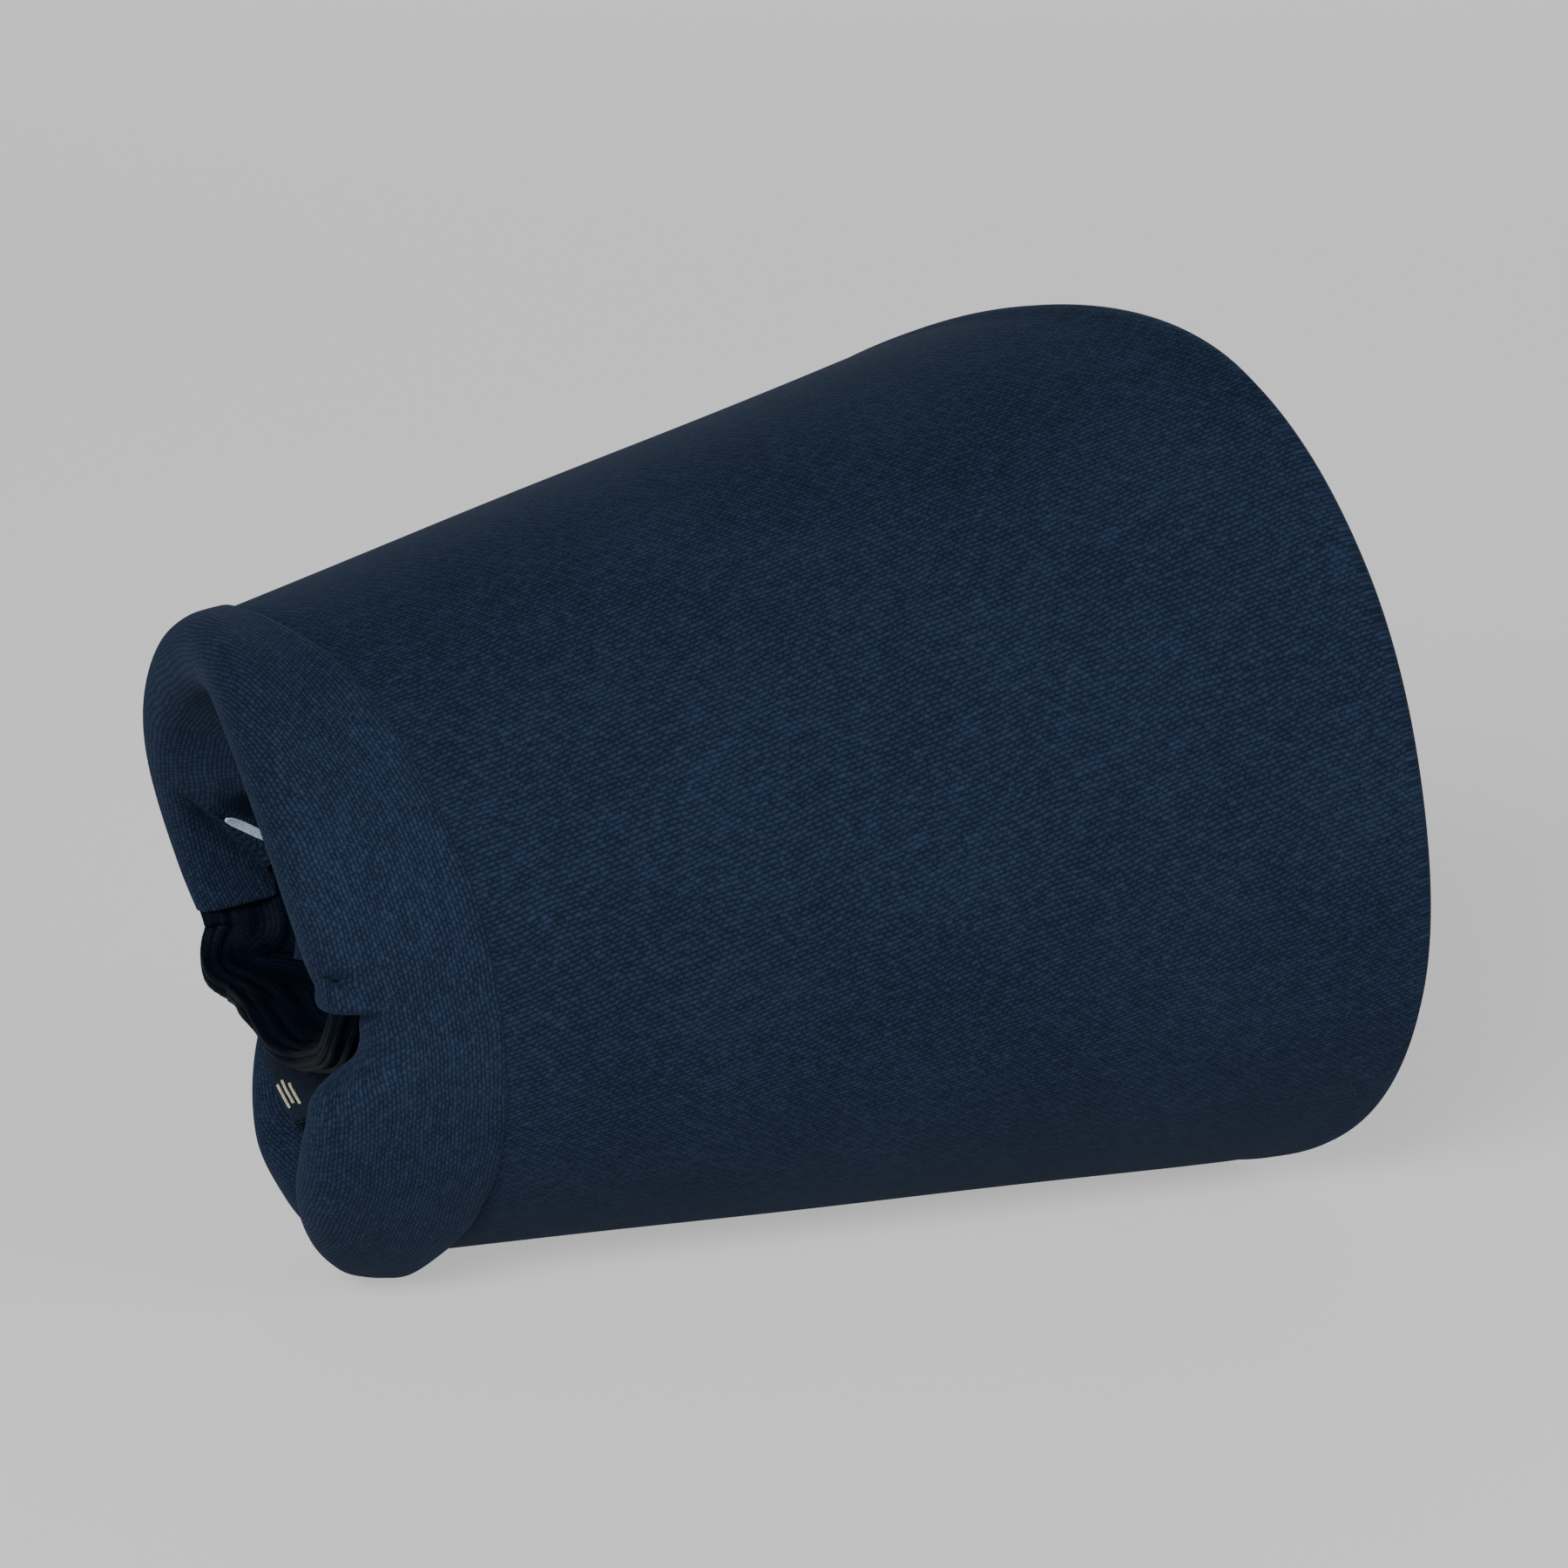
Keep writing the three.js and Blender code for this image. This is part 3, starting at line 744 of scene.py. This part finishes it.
def woven_mark():
    """A plain pale bar, woven flat on the band beside the crease. Its white is painted in the grey-blue of
    the crease's shade.
    """
    share = np.linspace(0, 1, 16)[:, None]
    across = np.linspace(-0.5, 0.5, 6)[None, :]
    width = MARK_WIDTH * np.sqrt(np.maximum(0.12, 1 - (2 * share - 1.0) ** 4))
    x = -9.6 + share * 5.8 + across * width * 0.6
    turn = 167.8 + share * 9.0 - np.degrees(across * width * 0.8 / 35)
    mid = inner_leg(x, turn, 0.3)
    tag = np.stack(np.broadcast_arrays(share * 6, across * width), axis=-1)
    return cloth(mid, 0.26, tag)


def bartack(turn, x, distance, length, count):
    """A close zigzag of thread across the end of the band."""
    bodies = []
    for k in range(count):
        t = turn + 0.45 * (k - count / 2)
        xs = np.linspace(x - length / 2, x + length / 2, 6) + 0.25 * (-1) ** k
        bodies.append(thread(from_axis(xs, np.full(6, t), np.full(6, distance)), 0.16, 0))
    return bodies


# ---- the pieces ----
bill_roll = make("bill_roll", [bill_cover(-TIP_TURN, SPLIT_TURN, False, True)], [NAVY, NAVY_UNDER])
bill_wrap = make("bill_wrap", [bill_cover(SPLIT_TURN, TIP_TURN, True, False)], [NAVY, NAVY_UNDER])


def sheet_piece(name, bodies, materials):
    piece = make(name, bodies, materials)
    return piece


tape_roll = make("seam_tape_roll", seam_tape(-TIP_TURN + 2, SPLIT_TURN, False, True), [TAPE, THREAD])
tape_wrap = make("seam_tape_wrap", seam_tape(SPLIT_TURN, TIP_TURN - 2, True, False), [TAPE, THREAD])

body, mid = cuff(-TIP_TURN, SPLIT_TURN, 0.0, BAND_THICK, 84, False, True)
band_roll = sheet_piece("band_roll", [body], [NAVY_BAND])
body, mid = cuff(SPLIT_TURN, BAND_END_TURN, 0.0, BAND_THICK, 84, True, False)
band_wrap = sheet_piece("band_wrap", [body], [NAVY_BAND])
body, mid = cuff(-TIP_TURN + 1, SPLIT_TURN, SWEAT_DEPTH, SWEAT_THICK, 48, False, True)
sweat_roll = sheet_piece("sweatband_roll", [body], [SWEAT])
body, mid = cuff(SPLIT_TURN, BAND_END_TURN - 1, SWEAT_DEPTH, SWEAT_THICK, 48, True, False)
sweat_wrap = sheet_piece("sweatband_wrap", [body], [SWEAT])
body, mid = strap_casing()
casing = sheet_piece("back_strap_casing", [body], [CASING])
body, mid = strap_elastic()
elastic = sheet_piece("back_strap_elastic", [body], [ELASTIC])
bodies, mid = care_label()
label = sheet_piece("woven_label", bodies, [LABEL_CLOTH, CREAM])
label_thread = make("label_stitches", label_stitches(), [THREAD])
mark = make("woven_mark", [woven_mark()], [MARK_WITH_PAINTED_SHADE])
tack_roll = make("bartack_roll", bartack(-188.2, -0.5, 29.0, 5.0, 9), [THREAD])
tack_wrap = make("bartack_wrap", bartack(189.6, -4.5, 40.9, 5.5, 9), [THREAD])

for piece in (bill_roll, tape_roll, band_roll, sweat_roll, label_thread, tack_roll):
    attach(piece, "roll")
for piece in (bill_wrap, tape_wrap, band_wrap, sweat_wrap):
    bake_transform(piece)
for piece in (casing, elastic):
    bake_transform(piece)
for piece in (mark, tack_wrap):
    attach(piece, "flap")
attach(label, "label")

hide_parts("bill_top_fabric", "bill_foam_core", "bill_under_fabric")
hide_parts("flap_top_fabric", "flap_foam_core", "flap_under_fabric")
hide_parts("bill_seam_tape")
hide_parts("flap_seam_tape")
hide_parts("bill_band_shell")
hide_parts("flap_band_shell")
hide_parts("bill_sweatband", "band_interlining")
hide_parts("flap_sweatband")
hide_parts("strap_casing", "flap_strap_end")
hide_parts("strap_elastic")
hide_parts("care_label")
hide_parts("label_stitch")
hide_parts("emblem")
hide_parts("bartack_inner")
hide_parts("bartack_outer")


# ---- camera, floor and light ----
def fit_direction(azimuth, elevation):
    a = math.radians(azimuth)
    e = math.radians(elevation)
    return np.array([math.sin(a) * math.cos(e), -math.cos(a) * math.cos(e), math.sin(e)])


def level_to_part(v):
    """From the roll lying with its lowest line level to the roll resting on its rim and cuff."""
    c, s = math.cos(LIFT_ANGLE), math.sin(LIFT_ANGLE)
    return np.array([c * v[0] + s * v[2], v[1], -s * v[0] + c * v[2]])


AZIMUTH = -21.75
ELEVATION = 15.0
back = fit_direction(AZIMUTH, ELEVATION)
right = np.array([math.cos(math.radians(AZIMUTH)), math.sin(math.radians(AZIMUTH)), 0.0])
up = np.cross(back, right)
level_start = np.array([-55.0, 0.0, 0.0])


def camera_place(v):
    return AXIS_START + level_to_part(v - level_start)


CAMERA_DISTANCE = 900
AIM_OFFSET = (-4.15, 10.13)  # right and up from the start of the axis

eye = camera_place(back * CAMERA_DISTANCE)
aim = camera_place(right * AIM_OFFSET[0] + up * AIM_OFFSET[1])
top = level_to_part(up)
view_back = unit(eye - aim)
view_right = unit(np.cross(top, view_back))
view_up = np.cross(view_back, view_right)
camera_data = bpy.data.cameras.new("camera")
camera_data.lens = 170.6
camera_data.sensor_width = 36.0
camera_data.clip_end = 20.0
camera = bpy.data.objects.new("camera", camera_data)
bpy.context.scene.collection.objects.link(camera)
rotation = np.eye(4)
rotation[:3, 0] = view_right
rotation[:3, 1] = view_up
rotation[:3, 2] = view_back
rotation[:3, 3] = eye * MM
camera.matrix_world = Matrix(rotation.tolist())
bpy.context.scene.camera = camera


def plain(name, colour, rough, glow):
    material = bpy.data.materials.new(name)
    material.use_nodes = True
    shader = material.node_tree.nodes["Principled BSDF"]
    shader.inputs["Base Color"].default_value = (*colour, 1)
    shader.inputs["Roughness"].default_value = rough
    shader.inputs["Emission Color"].default_value = (1, 1, 1, 1)
    shader.inputs["Emission Strength"].default_value = glow
    return material


floor_mesh = bpy.data.meshes.new("floor")
FLOOR_REACH = 6
corners = [(x * FLOOR_REACH, y * FLOOR_REACH, 0) for x, y in ((-1, -1), (1, -1), (1, 1), (-1, 1))]
floor_mesh.from_pydata(corners, [], [(0, 1, 2, 3)])
floor_mesh.materials.append(plain("floor_paper", (0.25, 0.25, 0.25), 0.9, glow=0.52))
floor = bpy.data.objects.new("floor", floor_mesh)
bpy.context.scene.collection.objects.link(floor)


def area_light(name, place, size, power, target=(0, 0, 0.05)):
    data = bpy.data.lights.new(name, "AREA")
    data.shape = "RECTANGLE"
    data.size, data.size_y = size
    data.energy = power
    light = bpy.data.objects.new(name, data)
    bpy.context.scene.collection.objects.link(light)
    light.location = place
    direction = Vector(target) - Vector(place)
    light.rotation_euler = direction.to_track_quat("-Z", "Y").to_euler()


area_light("key", (-0.95, -1.14, 0.8), (0.8, 0.6), 57)
area_light("fill", (0.8, -1.1, 0.4), (0.9, 0.7), 20)
area_light("back", (0.6, 1.3, 0.45), (1.2, 0.8), 7)

world = bpy.data.worlds.new("world")
bpy.context.scene.world = world
world.use_nodes = True
world.node_tree.nodes["Background"].inputs["Color"].default_value = (1, 1, 1, 1)
world.node_tree.nodes["Background"].inputs["Strength"].default_value = 0.1
